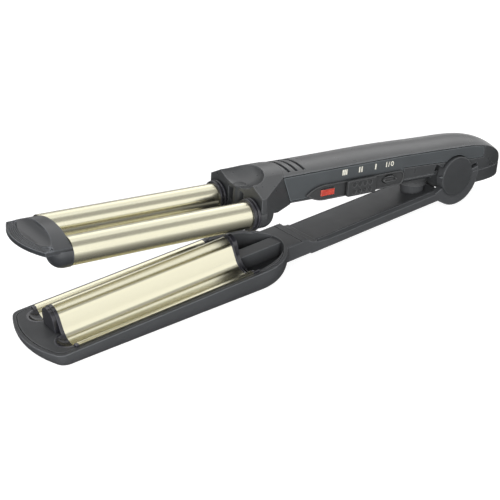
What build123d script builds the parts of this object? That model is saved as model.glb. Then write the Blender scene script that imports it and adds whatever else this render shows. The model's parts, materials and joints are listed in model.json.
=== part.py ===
from build123d import *
import math
import os

# Hair waver, modelled closed about its hinge: x = 0, z = 0 on the hinge axis,
# tip towards -x, switch side towards -y. All lengths in mm, angles in degrees.

# ---- working fits -------------------------------------------------------------
running_fit = 0.08
seat_fit = 0.05
seam_gap = 0.25
hair_gap = 0.6
swing_gap = 0.4
panel_gap = 0.45
reach = 400.0
overrun = 60.0

# ---- barrels and wave plate ---------------------------------------------------
barrel_radius = 8.0
barrel_wall = 0.8
barrel_pitch = 34.6
barrel_height = 2.7
barrel_front = -285.0
barrel_rear = -163.0
plate_thickness = 1.2
plate_front = -287.3
plate_rear = -173.4
ridge_radius = 7.4
ridge_height = 3.5
lip_top = -1.3
lip_half_width = 27.5

# ---- boat-shaped lower jaw ----------------------------------------------------
hull_half_width = 30.5
hull_nose = -307.5
hull_stern = -166.0
hull_depth = 17.85
hull_rise = 0.0384
hull_pivot = -147.5
hull_skin = 3.0
hull_bow_radius = 61.4
hull_corner_radius = 6.0
bilge = 14.5
bilge_power = 2.4
hull_steps = (0.0, 0.35, 0.65, 0.85, 0.95, 1.0)
cavity_half_width = 25.8
rim_groove_inset = 2.3
groove_size = 0.5
recess_center = -170.5
recess_half_length = 34.5
recess_half_width = 26.0
recess_floor = -12.5
recess_draft = 10.0
rib_half_width = 4.8
rib_top = -3.6

# ---- plate holders ------------------------------------------------------------
front_collar_length = 2.0
half_disc_length = 2.2
half_disc_radius = 6.9
dish_wall = 1.0
flush_collar_length = 1.4
rear_holder_length = 4.4
holder_floor = -11.5
stern_ridge_radius = 6.4
stern_ridge_height = 5.6

# ---- heater under the plate ---------------------------------------------------
spreader_front = -282.0
spreader_rear = -178.0
spreader_half_width = 22.5
spreader_floor = -9.4
plate_heater_length = 60.0
plate_heater_width = 30.0
plate_heater_thickness = 2.0
mica_thickness = 0.4
clamp_thickness = 1.0
clamp_margin = 6.0
heater_middle = -220.0
small_screw_radius = 1.25
small_head_radius = 2.2
small_head_height = 0.7
screw_post_radius = 3.0
fuse_radius = 1.3
fuse_length = 12.0
fuse_x = -270.0

# ---- waist and grip arm -------------------------------------------------------
waist_half_width = 15.0
waist_step = -121.3
waist_groove = -128.5
waist_ramp = 4.6
waist_bevel = 0.8
arm_floor = -13.5
arm_half_width = 16.1
arm_top = -6.0
arm_panel_half_width = 13.1
arm_band_drop = 1.5
arm_flare_end = -108.0
arm_bottom_bevel = 1.5
arm_dish_radius = 150.0
arm_dish_depth = 0.6
arm_rear = -13.0
arm_tongue_rear = -5.0
panel_corner_radius = 6.0
wire_cover_front = -133.0
wire_cover_rear = -42.0
wire_cover_half_width = 9.0
wire_cover_thickness = 1.5
wire_channel_half_width = 6.0
wire_channel_depth = 3.0

# ---- hinge --------------------------------------------------------------------
ear_inner = 11.2
ear_hub_radius = 13.2
ear_ring_radius = 20.0
ear_ring_start = 200.0
ear_ring_end = 363.0
ear_line_z = -1.5
pin_radius = 3.0
hinge_cap_radius = 13.4
hinge_cap_thickness = 1.0
hinge_cap_edge = 0.6
pointer_angle = 165.5
pointer_reach = 17.3
boss_radius = 12.0
boss_half_width = 10.7
pocket_inner = 10.9
pocket_radius = 20.6
pocket_hub_radius = 13.9
pocket_start = 150.0
pocket_end = 378.0
opening_angle = 9.3

# ---- opening spring and its seats ---------------------------------------------
spring_x = -25.0
spring_seat = -8.5
spring_roof = 0.5
spring_radius = 5.8
spring_wire = 1.2
spring_turns = 4.5
spring_post_radius = 4.6
spring_post_top = -4.5
sleeve_radius = 7.7
sleeve_bore = 6.9
sleeve_top = -0.3
cup_radius = 10.2
cup_inner_radius = 8.9
cup_rim = -5.4
cup_steps = (-0.6, -2.9)
cup_step = 0.3

# ---- handle -------------------------------------------------------------------
handle_crown_line = (
    (-143.0, 23.3),
    (-95.0, 23.5),
    (-50.0, 23.6),
    (-10.0, 22.6),
    (14.0, 21.9),
    (26.0, 20.2),
    (36.0, 16.6),
    (44.0, 11.2),
    (49.5, 5.2),
    (52.8, -1.0),
    (54.2, -6.5),
)
handle_crown_radius = 35.5
handle_crown_drop = 3.1
handle_half_width = 14.5
handle_plan_line = (
    (10.0, handle_half_width),
    (28.0, handle_half_width - 0.7),
    (38.0, handle_half_width - 2.5),
    (44.0, handle_half_width - 4.6),
    (48.6, handle_half_width - 7.3),
    (52.1, handle_half_width - 10.2),
)
tail_bow = 1.5
handle_front = -150.0
joint_top = (-145.2, 23.5)
joint_foot = (-137.0, 2.8)
tail_floor = -8.0
under_front = 2.9
under_rear = 1.5
under_bend = -40.0
tail_step = 14.0
under_bevel = 1.6
split_height = 4.2
tail_split_height = 0.5
handle_side_wall = 2.2
handle_cavity_half_width = handle_half_width - handle_side_wall
handle_cavity_top = 19.3
handle_cavity_front = -134.0
handle_cavity_rear = 12.0
tail_cavity_front = 16.0
tail_cavity_rear = 41.0
tail_cavity_half_width = 9.0
tail_cavity_floor = -5.8
tail_cavity_top = 9.0
web_half_length = 3.0
vent_first = -136.6
vent_pitch = 5.5
vent_width = 2.0
vent_half_length = 10.8
vent_depth = 2.6
vent_bed_radius = 60.0
side_panel_thickness = 1.2
side_panel_inner = handle_half_width - side_panel_thickness
side_panel_rear = 26.0
side_panel_high_rear = 16.75
side_panel_low_rear = 9.0
side_panel_low_front = 12.0
side_panel_notch = -47.0
passage_radius = 3.5

# ---- controls -----------------------------------------------------------------
bezel_tip = -126.0
bezel_shoulder = -110.0
bezel_end = -52.0
bezel_half_height = 4.85
bezel_middle = 6.45
bezel_thickness = 1.2
lamp_x = -109.9
lamp_z = 6.4
lamp_length = 10.3
lamp_height = 5.0
lamp_proud = 0.3
slider_x = -84.2
slider_length = 23.0
slider_height = 10.3
slider_thickness = 2.0
slider_travel = 5.5
slider_stem_length = 6.0
slider_stem_height = 3.0
slider_lift = 0.25
dimple_pitch_x = 4.2
dimple_pitch_z = 4.7
dimple_radius = 1.5
dimple_depth = 0.5
button_x = -60.3
button_z = 7.0
button_length = 11.6
button_height = 5.2
button_proud = 1.3
button_press = 1.0
button_clearance = 0.3
button_groove = 1.3
button_groove_lift = 0.75
switch_face = 9.5
board_face = 6.0
board_thickness = 1.6
board_front = -118.0
board_rear = -52.0
board_top = 17.2
lamp_body_length = 6.0
lamp_body_floor = 4.4
lamp_body_top = 8.4
switch_floor = 4.6
slide_switch_top = 9.6
power_switch_top = 10.4
power_switch_length = 10.0

# ---- forked head --------------------------------------------------------------
head_front = -167.0
head_crown = 23.9
head_crown_half = 12.0
head_half_width = 26.5
head_hip = 14.4
head_floor = 2.9
head_chin = 5.6
side_facet_start = -163.5
side_facet_end = (-147.0, 20.6)
rear_facet_crest = (-161.6, -25.0, 14.7)
pad_center = -164.4
pad_radius = 25.0
pad_floor = 20.3
socket_radius = 9.0
socket_rear = -154.5
socket_round = 7.5
dish_half_length = 15.0
dish_half_width = 18.4
dish_depth = 9.5
fork_recess = -163.2
fork_recess_half_width = 7.6
fork_recess_top = 12.2
stud_radius = 4.0
stud_x = -164.3
stud_top = 15.3
head_cavity_front = -160.6
head_cavity_half_width = 9.0
head_cavity_floor = 4.6
head_cavity_top = 12.4
wire_way_height = 4.0
collar_front = -171.5
collar_root_radius = 9.0
collar_front_radius = 9.5
collar_rear_radius = 9.8

# ---- cores --------------------------------------------------------------------
core_front = -278.0
core_rear = -172.0
core_gap = 2.4
barrel_heater_width = 10.0
barrel_heater_front = -270.0
barrel_heater_rear = -190.0

# ---- tip cap ------------------------------------------------------------------
cup_end_radius = 8.3
cup_end_center = -288.2
bill_half_width = 24.0
bill_front = -306.6
bill_plan_radius = 50.0
bill_top = 7.1
bill_thickness = 2.4
saddle_front = -300.5
saddle_top = 13.9
scoop_x = -300.8
scoop_z = 14.0
scoop_half_length = 8.0
scoop_half_width = 60.0
scoop_depth = 7.3
tip_groove_count = 5
tip_groove_pitch = 1.05
tip_groove_inset = 0.9
tip_groove_width = 0.5
tip_groove_depth = 0.45
tip_web_front = -294.6
tip_web_floor = -0.5
ridge_foot = 10.2
spigot_radius = 7.15
spigot_length = 6.0
tip_screw_radius = 1.2
tip_screw_hole = 1.6
tip_screw_z = -0.2
tip_screw_seat = -293.5
tip_screw_end = -284.0

# ---- cord gland ---------------------------------------------------------------
gland_radius = 3.5
gland_bore = 2.4
gland_z = -4.2
gland_front = 43.4
gland_rear = 53.0

# ---- derived ------------------------------------------------------------------
half_pitch = barrel_pitch / 2
trough_radius = barrel_radius + hair_gap
rim = lip_top - plate_thickness
rest_tilt = math.degrees(math.atan(hull_rise))
bezel_face = handle_half_width + bezel_thickness


# ---- drawing helpers ----------------------------------------------------------
def filled(*lines):
    """Face inside a closed run of lines."""
    return make_face(Curve() + list(lines))


def polygon(*points):
    """Face with straight sides."""
    return make_face(Polyline(*points, close=True))


def along(area, start, end):
    """Area drawn across the barrels (y, z), run from x = start to x = end."""
    return extrude(Plane.YZ.offset(start) * area, amount=end - start, dir=(1, 0, 0))


def across(area, half_width):
    """Area drawn from the side (x, z), run to both sides."""
    return extrude(Plane.XZ * area, amount=half_width, both=True)


def outwards(area, inner, outer):
    """Area drawn from the side (x, z), run outwards on the switch side."""
    return extrude(Plane.XZ.offset(inner) * area, amount=outer - inner, dir=(0, -1, 0))


def upright(area, low, high):
    """Area drawn in plan (x, y), run from z = low to z = high."""
    return extrude(Plane.XY.offset(low) * area, amount=high - low, dir=(0, 0, 1))


def block(x0, x1, y0, y1, z0, z1):
    """Box between two corners."""
    middle = Pos((x0 + x1) / 2, (y0 + y1) / 2, (z0 + z1) / 2)
    return middle * Box(x1 - x0, y1 - y0, z1 - z0)


def bar(x0, x1, half_width, z0, z1):
    """Box centred on the middle plane."""
    return block(x0, x1, -half_width, half_width, z0, z1)


def rod(radius, x0, x1, y, z):
    """Cylinder lying along x."""
    return Pos((x0 + x1) / 2, y, z) * Rot(0, 90, 0) * Cylinder(radius, x1 - x0)


def axle(radius, y0, y1, x=0.0, z=0.0):
    """Cylinder lying along y."""
    return Pos(x, (y0 + y1) / 2, z) * Rot(90, 0, 0) * Cylinder(radius, y1 - y0)


def post(radius, z0, z1, x, y=0.0):
    """Upright cylinder."""
    return Pos(x, y, (z0 + z1) / 2) * Cylinder(radius, z1 - z0)


def ellipsoid(x, y, z, half_x, half_y, half_z):
    """Stretched ball."""
    return Pos(x, y, z) * scale(Sphere(1), by=(half_x, half_y, half_z))


def beyond(point, direction):
    """Everything on the far side of a slanting plane."""
    return Plane(origin=point, z_dir=direction) * Pos(0, 0, reach / 2) * Box(reach, reach, reach)


def both_sides(shape):
    """Shape with its mirror image on the other side."""
    return shape + mirror(shape, about=Plane.XZ)


def largest(shape):
    """The main solid of a cut."""
    return shape.solids().sort_by(SortBy.VOLUME)[-1]


def sector(radius, start, end):
    """Pie slice seen from the side, angles from +x towards +z."""
    arc = CenterArc((0, 0), radius, start, end - start)
    return filled(Line((0, 0), arc @ 0), arc, Line(arc @ 1, (0, 0)))


# ---- wave profile -------------------------------------------------------------
def wave_area(trough, ridge, crest_height, lip, floor):
    """Area under the trough, ridge, trough line, looking along the barrels."""
    trough_center = Vector(half_pitch, barrel_height)
    ridge_center = Vector(0, crest_height)
    span = ridge_center - trough_center
    lean = math.degrees(math.acos((trough + ridge) / span.length))
    flank = math.degrees(math.atan2(span.Y, span.X)) + lean
    lip_angle = 360 - math.degrees(math.asin((barrel_height - lip) / trough))
    crest = CenterArc(ridge_center, ridge, 90, flank - 270)
    bed = CenterArc(trough_center, trough, flank, lip_angle - flank)
    edge = (lip_half_width, lip)
    under = Polyline(bed @ 1, edge, (lip_half_width, floor), (0, floor), crest @ 0)
    half = filled(crest, Line(crest @ 1, bed @ 0), bed, under)
    return half + mirror(half, about=Plane.YZ)


def plate_top_area(floor):
    """Area under the upper face of the plate."""
    return wave_area(trough_radius, ridge_radius, ridge_height, lip_top, floor)


def plate_under_area(floor):
    """Area under the lower face of the plate."""
    trough = trough_radius + plate_thickness
    ridge = ridge_radius - plate_thickness
    return wave_area(trough, ridge, ridge_height, rim, floor)


def wave_plate():
    section = plate_top_area(spreader_floor) - plate_under_area(spreader_floor - 1)
    return largest(along(section, plate_front, plate_rear))


def holder_seat(x0, x1, half_width):
    """Room a plate holder takes: lips on the rim, body down in the cavity."""
    lips = bar(x0, x1, lip_half_width, rim, barrel_pitch)
    body = bar(x0, x1, half_width, holder_floor, rim)
    return lips + (body & hull_body(hull_skin + seat_fit))


def front_plate_holder():
    collar_x = plate_front - front_collar_length
    disc_x = collar_x - half_disc_length
    area = plate_top_area(holder_floor - 1)
    room = holder_seat(collar_x, plate_front, cavity_half_width - seat_fit)
    holder = along(area, collar_x, plate_front) & room
    disc = rod(half_disc_radius, disc_x, collar_x, 0, ridge_height)
    holder += disc & bar(disc_x, collar_x, half_disc_radius, ridge_height, 40)
    holder += bar(disc_x, collar_x, half_disc_radius, rim, ridge_height)
    dish = dish_ball(dish_wall) - dish_ball(0)
    holder += both_sides(dish & block(-reach, collar_x, -overrun, overrun, -overrun, rim))
    return largest(holder)


def dish_ball(extra):
    """Ball that a barrel end dips into when the jaw closes."""
    radius = cup_end_radius + swing_gap + extra
    return Pos(cup_end_center, -half_pitch, barrel_height) * Sphere(radius)


def rear_plate_holder():
    step_x = plate_rear + flush_collar_length
    end_x = plate_rear + rear_holder_length
    trough = collar_rear_radius + swing_gap
    flush = along(plate_top_area(holder_floor - 1), plate_rear, step_x)
    flush &= holder_seat(plate_rear, step_x, cavity_half_width - seat_fit)
    stern = wave_area(trough, stern_ridge_radius, stern_ridge_height, lip_top, holder_floor - 1)
    stern = along(stern, step_x, end_x)
    stern &= holder_seat(step_x, end_x, recess_half_width - seam_gap)
    return largest(flush + stern)


# ---- lower jaw ----------------------------------------------------------------
def hull_plan(half_width, nose):
    """Plan of the boat at one depth: bowed nose, rounded corners, round stern."""
    shoulder = nose + hull_bow_radius - math.sqrt(hull_bow_radius**2 - half_width**2)
    port = (shoulder, half_width)
    starboard = (shoulder, -half_width)
    outline = filled(
        ThreePointArc(starboard, (nose, 0), port),
        Line(port, (hull_stern, half_width)),
        ThreePointArc((hull_stern, half_width), (hull_stern + half_width, 0), (hull_stern, -half_width)),
        Line((hull_stern, -half_width), starboard),
    )
    return fillet(outline.vertices().group_by(Axis.X)[0], hull_corner_radius)


def hull_body(skin):
    """Boat shape, or its inside when a skin is taken off."""
    sections = []
    for share in hull_steps:
        inset = skin + bilge * (1 - math.sqrt(1 - share**bilge_power))
        slope = share * hull_rise
        level = rim - share * (hull_depth - skin)
        plane = Plane(origin=(hull_pivot, 0, level), x_dir=(1, 0, -slope), z_dir=(slope, 0, 1))
        plan = hull_plan(hull_half_width - inset, hull_nose + inset)
        sections.append(plane * Pos(-hull_pivot, 0, 0) * plan)
    return loft(sections)


def rim_groove():
    """Line that runs round the deck."""
    outer = hull_plan(hull_half_width - rim_groove_inset, hull_nose + rim_groove_inset)
    inset = rim_groove_inset + groove_size
    inner = hull_plan(hull_half_width - inset, hull_nose + inset)
    return upright(outer - inner, rim - groove_size, rim + 1)


def heater_cavity():
    room = bar(plate_front - front_collar_length, plate_rear + rear_holder_length,
               cavity_half_width, -40, rim)
    return hull_body(hull_skin) & room


def head_recess():
    """Well behind the plate that the forked head closes into, with its middle rib."""
    mouth = Pos(recess_center, 0, rim) * Ellipse(recess_half_length, recess_half_width)
    inset = (rim - recess_floor) * math.tan(math.radians(recess_draft))
    bottom = Ellipse(recess_half_length - inset, recess_half_width - inset)
    well = loft([Pos(recess_center, 0, recess_floor) * bottom, mouth], ruled=True)
    step_x = plate_rear + flush_collar_length
    well &= bar(step_x, 0, overrun, -overrun, 10)
    end_x = plate_rear + rear_holder_length
    return well - bar(end_x, 0, rib_half_width, -overrun, rib_top)


def waist_body():
    """Neck behind the well, ending in a hollow ramp down to the grip arm."""
    half = polygon(
        (0, rim),
        (waist_half_width - waist_bevel, rim),
        (waist_half_width, rim - waist_bevel),
        (waist_half_width, arm_floor + arm_bottom_bevel),
        (waist_half_width - arm_bottom_bevel, arm_floor),
        (0, arm_floor),
    )
    body = along(half + mirror(half, about=Plane.YZ), hull_stern + 10, waist_step + waist_ramp)
    brow = waist_step - waist_ramp / 2
    foot = waist_step + waist_ramp
    sag = (rim - arm_top) * 0.35
    slope = ThreePointArc((brow, rim), ((brow + foot) / 2, (rim + arm_top) / 2 - sag), (foot, arm_top))
    sky = filled(slope, Polyline((foot, arm_top), (foot + 1, arm_top), (foot + 1, 1), (brow, 1), (brow, rim)))
    body -= across(sky, overrun)
    groove = bar(waist_groove, waist_groove + groove_size, overrun, rim - groove_size, rim + 1)
    return body - groove


def grip_body():
    edge_z = arm_top - arm_band_drop
    half = polygon(
        (0, arm_top),
        (arm_panel_half_width, arm_top),
        (arm_half_width, edge_z),
        (arm_half_width, arm_floor + arm_bottom_bevel),
        (arm_half_width - arm_bottom_bevel, arm_floor),
        (0, arm_floor),
    )
    body = along(half + mirror(half, about=Plane.YZ), waist_step, arm_rear)
    body -= bar(arm_tongue_rear, 0, ear_inner, -overrun, overrun)
    body -= axle(boss_radius + swing_gap, -ear_inner, ear_inner)
    body -= both_sides(arm_flare())
    dish_z = arm_top - arm_dish_depth + arm_dish_radius
    hollow = rod(arm_dish_radius, waist_step, arm_rear, 0, dish_z)
    body -= hollow & bar(-reach, 0, arm_panel_half_width, -overrun, overrun)
    return body - arm_panel_line()


def arm_flare():
    """Cut that lets the grip arm widen from the neck in a soft curve."""
    middle = ((waist_step + arm_flare_end) / 2, waist_half_width + (arm_half_width - waist_half_width) * 0.28)
    side = ThreePointArc((waist_step, waist_half_width), middle, (arm_flare_end, arm_half_width))
    out = Polyline(side @ 1, (arm_flare_end, arm_half_width + 2), (waist_step, arm_half_width + 2), side @ 0)
    return upright(filled(side, out), -overrun, 10)


def arm_panel_line():
    """Thin line round the dished top of the grip arm."""
    length = 2 * (arm_rear - waist_step)
    outer = RectangleRounded(length, 2 * arm_panel_half_width, panel_corner_radius)
    inner_size = 2 * (arm_panel_half_width - groove_size)
    inner = RectangleRounded(length - 2 * groove_size, inner_size, panel_corner_radius - groove_size)
    ring = Pos(waist_step + length / 2, 0) * (outer - inner)
    return upright(ring, arm_top - 2 * groove_size, arm_top + 1)


def ear_side():
    """Switch-side ear: hub, ring sector and the line across the ring."""
    hub = outwards(Circle(ear_hub_radius), ear_inner, arm_half_width)
    ring = outwards(sector(ear_ring_radius, ear_ring_start, ear_ring_end), ear_inner, arm_half_width)
    ear = hub + ring
    outer_face = arm_half_width - groove_size
    line = block(ear_hub_radius, 25, -20, -outer_face, ear_line_z, ear_line_z + groove_size)
    return ear - line


def wire_channel():
    """Room for the wire cover, the channel above it and the way into the jaw."""
    cover_top = arm_floor + wire_cover_thickness
    room = bar(wire_cover_front, wire_cover_rear, wire_cover_half_width, -40, cover_top)
    channel_top = cover_top + wire_channel_depth
    end = 10.0
    room += bar(wire_cover_front + end, wire_cover_rear - end, wire_channel_half_width, -40, channel_top)
    for x in wire_screw_places():
        room += post(small_screw_radius + seat_fit, -40, arm_top - 2, x)
    return room


def wire_screw_places():
    inset = 5.0
    return (wire_cover_front + inset, wire_cover_rear - inset)


def spring_sleeve():
    """Short tube on the grip arm that slides inside the spring cup."""
    return post(sleeve_radius, arm_top - 2, sleeve_top, spring_x)


def spring_seat_cut():
    seat = post(sleeve_bore, spring_seat, sleeve_top + 1, spring_x)
    return seat - post(spring_post_radius, spring_seat, spring_post_top, spring_x)


def lower_arm_shell():
    shell = hull_body(0) - rim_groove()
    shell += waist_body()
    shell += grip_body()
    shell += both_sides(ear_side())
    shell += spring_sleeve()
    shell -= heater_cavity()
    shell -= head_recess()
    collar_x = plate_front - front_collar_length
    shell -= both_sides(dish_ball(dish_wall) & block(-reach, collar_x, -overrun, overrun, -overrun, rim))
    shell -= wire_channel()
    shell -= spring_seat_cut()
    shell -= axle(pin_radius + seat_fit, -40, 40)
    return largest(shell)


# ---- heater pack under the plate ----------------------------------------------
def heat_spreader():
    block_area = plate_under_area(spreader_floor)
    body = along(block_area, spreader_front, spreader_rear)
    body &= bar(spreader_front, spreader_rear, spreader_half_width, spreader_floor, 40)
    for x, y in clamp_screw_places():
        body -= post(small_screw_radius + seat_fit, spreader_floor, spreader_floor + 2, x, y)
    return largest(body)


def clamp_half_length():
    return plate_heater_length / 2 + clamp_margin


def clamp_screw_places():
    x = clamp_half_length() - clamp_margin / 2
    y = plate_heater_width / 2 - clamp_margin / 2
    return [(heater_middle + sx * x, sy * y) for sx in (-1, 1) for sy in (-1, 1)]


def plate_heater():
    half = plate_heater_length / 2
    low = spreader_floor - plate_heater_thickness
    return bar(heater_middle - half, heater_middle + half, plate_heater_width / 2, low, spreader_floor)


def mica_sheet():
    half = plate_heater_length / 2
    high = spreader_floor - plate_heater_thickness
    return bar(heater_middle - half, heater_middle + half, plate_heater_width / 2,
               high - mica_thickness, high)


def clamp_top():
    return spreader_floor - plate_heater_thickness - mica_thickness


def heater_clamp():
    half = clamp_half_length()
    low = clamp_top() - clamp_thickness
    plate = bar(heater_middle - half, heater_middle + half, plate_heater_width / 2, low, clamp_top())
    feet_inner = plate_heater_length / 2 + running_fit
    for side in (-1, 1):
        x0, x1 = sorted((heater_middle + side * feet_inner, heater_middle + side * half))
        plate += bar(x0, x1, plate_heater_width / 2, clamp_top(), spreader_floor)
    for x, y in clamp_screw_places():
        plate -= post(small_screw_radius + seat_fit, low, spreader_floor, x, y)
        plate -= post(small_head_radius + seat_fit, low, low + small_head_height, x, y)
    return largest(plate)


def screw(x, y, face, length):
    """Screw driven upwards, its head flush with the face."""
    shank = post(small_screw_radius, face, face + length, x, y)
    return shank + post(small_head_radius, face, face + small_head_height, x, y)


def heater_clamp_screws():
    face = clamp_top() - clamp_thickness
    length = spreader_floor + 1.8 - face
    return [screw(x, y, face, length) for x, y in clamp_screw_places()]


def plate_thermal_fuse():
    return axle(fuse_radius, -fuse_length / 2, fuse_length / 2, fuse_x, spreader_floor - fuse_radius)


# ---- grip arm fittings --------------------------------------------------------
def wire_cover():
    high = arm_floor + wire_cover_thickness
    cover = bar(wire_cover_front + seam_gap, wire_cover_rear - seam_gap,
                wire_cover_half_width - seam_gap, arm_floor, high)
    for x in wire_screw_places():
        cover -= post(small_screw_radius + seat_fit, arm_floor, high, x)
        cover -= post(small_head_radius + seat_fit, arm_floor, arm_floor + small_head_height, x)
    return largest(cover)


def wire_cover_screws():
    return [screw(x, 0, arm_floor, 5.0) for x in wire_screw_places()]


def hinge_pin():
    return axle(pin_radius, -arm_half_width, arm_half_width)


def plain_side_hinge_cap():
    outer = arm_half_width + hinge_cap_thickness
    cap = axle(hinge_cap_radius, arm_half_width, outer)
    return fillet(cap.edges().filter_by(GeomType.CIRCLE).sort_by(Axis.Y)[-1], hinge_cap_edge)


def switch_side_hinge_cap():
    cap = mirror(plain_side_hinge_cap(), about=Plane.XZ)
    root = pointer_reach - 5
    blade = polygon((root, -0.9), (pointer_reach, 0), (root, 0.9))
    pointer = outwards(Rot(0, 0, pointer_angle) * blade, arm_half_width, arm_half_width + 0.6)
    return largest(cap + pointer)


# ---- handle -------------------------------------------------------------------
def handle_plan():
    """Outline of the handle from above: straight sides, narrowing round the end."""
    start, end = handle_plan_line[0], handle_plan_line[-1]
    side = Spline(*handle_plan_line, tangents=[(1, 0), (1, -1.28)])
    tail = ThreePointArc(end, (end[0] + tail_bow, 0), (end[0], -end[1]))
    corner = (handle_front, handle_half_width)
    back = Polyline((start[0], -start[1]), (corner[0], -corner[1]), corner, start)
    return filled(side, tail, mirror(side, about=Plane.XZ), back)


def joint_x(z):
    """Where the slanting joint between head and handle is at a height."""
    share = (z - joint_foot[1]) / (joint_top[1] - joint_foot[1])
    return joint_foot[0] + share * (joint_top[0] - joint_foot[0])


def ahead_of_joint():
    """Everything on the head's side of the joint."""
    return across(polygon(
        (-reach, -overrun),
        (joint_x(-overrun), -overrun),
        (joint_x(overrun), overrun),
        (-reach, overrun),
    ), overrun)


def pad_room(extra):
    """Round end of the head's top, which laps over the handle."""
    return post(pad_radius + extra, pad_floor - extra, overrun, pad_center)


def above_crown():
    """Everything above the handle's curved top."""
    first, last = handle_crown_line[0], handle_crown_line[-1]
    line = Spline(*handle_crown_line, tangents=[(1, 0), (0.2, -1)])
    lead = Line((first[0] - 10, first[1]), first)
    ending = Line(last, (last[0] + 2, last[1] - 10))
    path = Plane.XZ * (Curve() + [lead, line, ending])
    width = 20
    drop = handle_crown_radius - math.sqrt(handle_crown_radius**2 - width**2)
    arc = ThreePointArc((-width, -drop), (0, 0), (width, -drop))
    sky = filled(arc, Polyline((width, -drop), (width, 30), (-width, 30), (-width, -drop)))
    return sweep(Plane.YZ.offset(first[0] - 10) * Pos(0, first[1]) * sky, path=path)


def handle_under():
    """Everything under the handle's lower line, ahead of the rounded end."""
    deep = -40
    return across(polygon(
        (handle_front - 5, under_front),
        (handle_front, under_front),
        (under_bend, under_rear),
        (tail_step, under_rear),
        (tail_step, deep),
        (handle_front - 5, deep),
    ), 40)


def handle_bevel():
    """Slanting cut along one lower edge of the handle."""
    fall = (under_rear - under_front) / (under_bend - handle_front)
    wedge = polygon(
        (handle_half_width - under_bevel - 2, under_front - 2.6),
        (handle_half_width + 2, under_front + under_bevel + 2.6),
        (handle_half_width + 2, under_front - 2.6),
    )
    start = Plane.YZ.offset(handle_front) * wedge
    return extrude(start, amount=tail_step - handle_front, dir=(1, 0, fall))


def hinge_pockets():
    """Room for the lower arm's ears on both sides."""
    pocket = outwards(sector(pocket_radius, pocket_start, pocket_end), pocket_inner, 40)
    pocket += outwards(Circle(pocket_hub_radius), pocket_inner, 40)
    return both_sides(pocket)


def handle_body():
    body = upright(handle_plan(), tail_floor, handle_crown_line[2][1] + 2)
    body -= above_crown()
    body -= handle_under()
    body -= both_sides(handle_bevel())
    body -= ahead_of_joint()
    return body - hinge_pockets()


def side_panel_area(gap):
    """Outline of an inset side panel, drawn in by a gap."""
    drop = handle_crown_drop + gap
    top = [(x, crown - drop) for x, crown in handle_crown_line if x < tail_step + 1]
    top[0] = (joint_x(top[0][1]) + gap, top[0][1])
    rear = side_panel_rear - gap
    return polygon(
        *top,
        (rear, side_panel_high_rear - gap),
        (rear, side_panel_low_rear + gap),
        (side_panel_notch - gap, side_panel_low_front + gap),
        (side_panel_notch - gap, split_height + gap),
        (joint_x(split_height + gap) + gap, split_height + gap),
    )


def panel_room(gap):
    return outwards(side_panel_area(gap), side_panel_inner, 40)


def lens_area(extra):
    return Pos(lamp_x, lamp_z) * RectangleRounded(lamp_length + 2 * extra, lamp_height + 2 * extra, 0.9)


def slot_area():
    length = slider_stem_length + 2 * slider_travel + 2 * seam_gap
    height = slider_stem_height + 2 * seam_gap
    return Pos(slider_x, bezel_middle) * Rectangle(length, height)


def button_area(extra):
    """Pointed oval of the power button."""
    half = button_length / 2 + extra
    rise = button_height / 2 + extra
    upper = ThreePointArc((-half, 0), (0, rise), (half, 0))
    lower = ThreePointArc((half, 0), (0, -rise), (-half, 0))
    return Pos(button_x, button_z) * filled(upper, lower)


def control_openings():
    """Openings for lamp, slider stem and button through bezel, panel and wall."""
    areas = (lens_area(running_fit), slot_area(), button_area(button_clearance))
    cut = outwards(areas[0], handle_cavity_half_width - 1, 40)
    for area in areas[1:]:
        cut += outwards(area, handle_cavity_half_width - 1, 40)
    return cut


def handle_cavity():
    cavity = bar(handle_cavity_front, handle_cavity_rear, handle_cavity_half_width,
                 split_height, handle_cavity_top)
    cavity += bar(tail_cavity_front, tail_cavity_rear, tail_cavity_half_width,
                  tail_cavity_floor, tail_cavity_top)
    cavity -= bar(tail_cavity_rear - 6, tail_cavity_rear, 40, 5.5, 40)
    cavity += rod(passage_radius, handle_front - 1, handle_cavity_front + 1, 0, 9)
    return cavity


def pivot_boss():
    """Barrel that turns on the hinge pin, hung from the roof by two webs."""
    boss = axle(boss_radius, -boss_half_width, boss_half_width)
    web = block(-web_half_length, web_half_length, -boss_half_width, -boss_half_width / 2,
                boss_radius - 2, handle_cavity_top + 0.5)
    boss += both_sides(web)
    boss += bar(boss_radius - 3, tail_cavity_front + 1, boss_half_width, 1.5, 8)
    return boss


def vents():
    """Cooling slots across the crown."""
    cut = None
    for index in range(3):
        x = vent_first + index * vent_pitch
        crown = handle_crown_line[0][1]
        drop = 3.0
        bed = crown - vent_depth
        slot = bar(x - vent_width / 2, x + vent_width / 2, vent_half_length, bed - drop, crown + 2)
        floor = rod(vent_bed_radius, x - vent_width, x + vent_width, 0, bed - vent_bed_radius)
        cut = slot - floor if cut is None else cut + (slot - floor)
    return cut


def lower_zone():
    """Zone of the bottom cover and of the tail cover."""
    zone = across(polygon(
        (handle_front, split_height), (-12, split_height), (-12, -40), (handle_front, -40),
    ), 40)
    return zone


def tail_zone():
    return across(polygon(
        (tail_step, tail_split_height), (80, tail_split_height), (80, -40), (tail_step, -40),
    ), 40)


def cover_screw_places():
    return (handle_cavity_front + 4, -45.0)


def handle_shell():
    shell = handle_body() - handle_cavity()
    shell += pivot_boss()
    shell -= both_sides(panel_room(0))
    shell -= control_openings()
    shell -= vents()
    shell -= pad_room(seat_fit)
    shell -= lower_zone() - axle(boss_radius + 0.01, -boss_half_width, boss_half_width)
    shell -= tail_zone()
    shell -= axle(pin_radius + running_fit, -40, 40)
    shell -= rod(gland_radius + seat_fit, gland_front, 80, 0, gland_z)
    for x in cover_screw_places():
        shell += post(screw_post_radius, split_height, handle_cavity_top + 0.5, x)
        shell -= post(small_screw_radius + seat_fit, 0, split_height + 4, x)
    return largest(shell)


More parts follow.
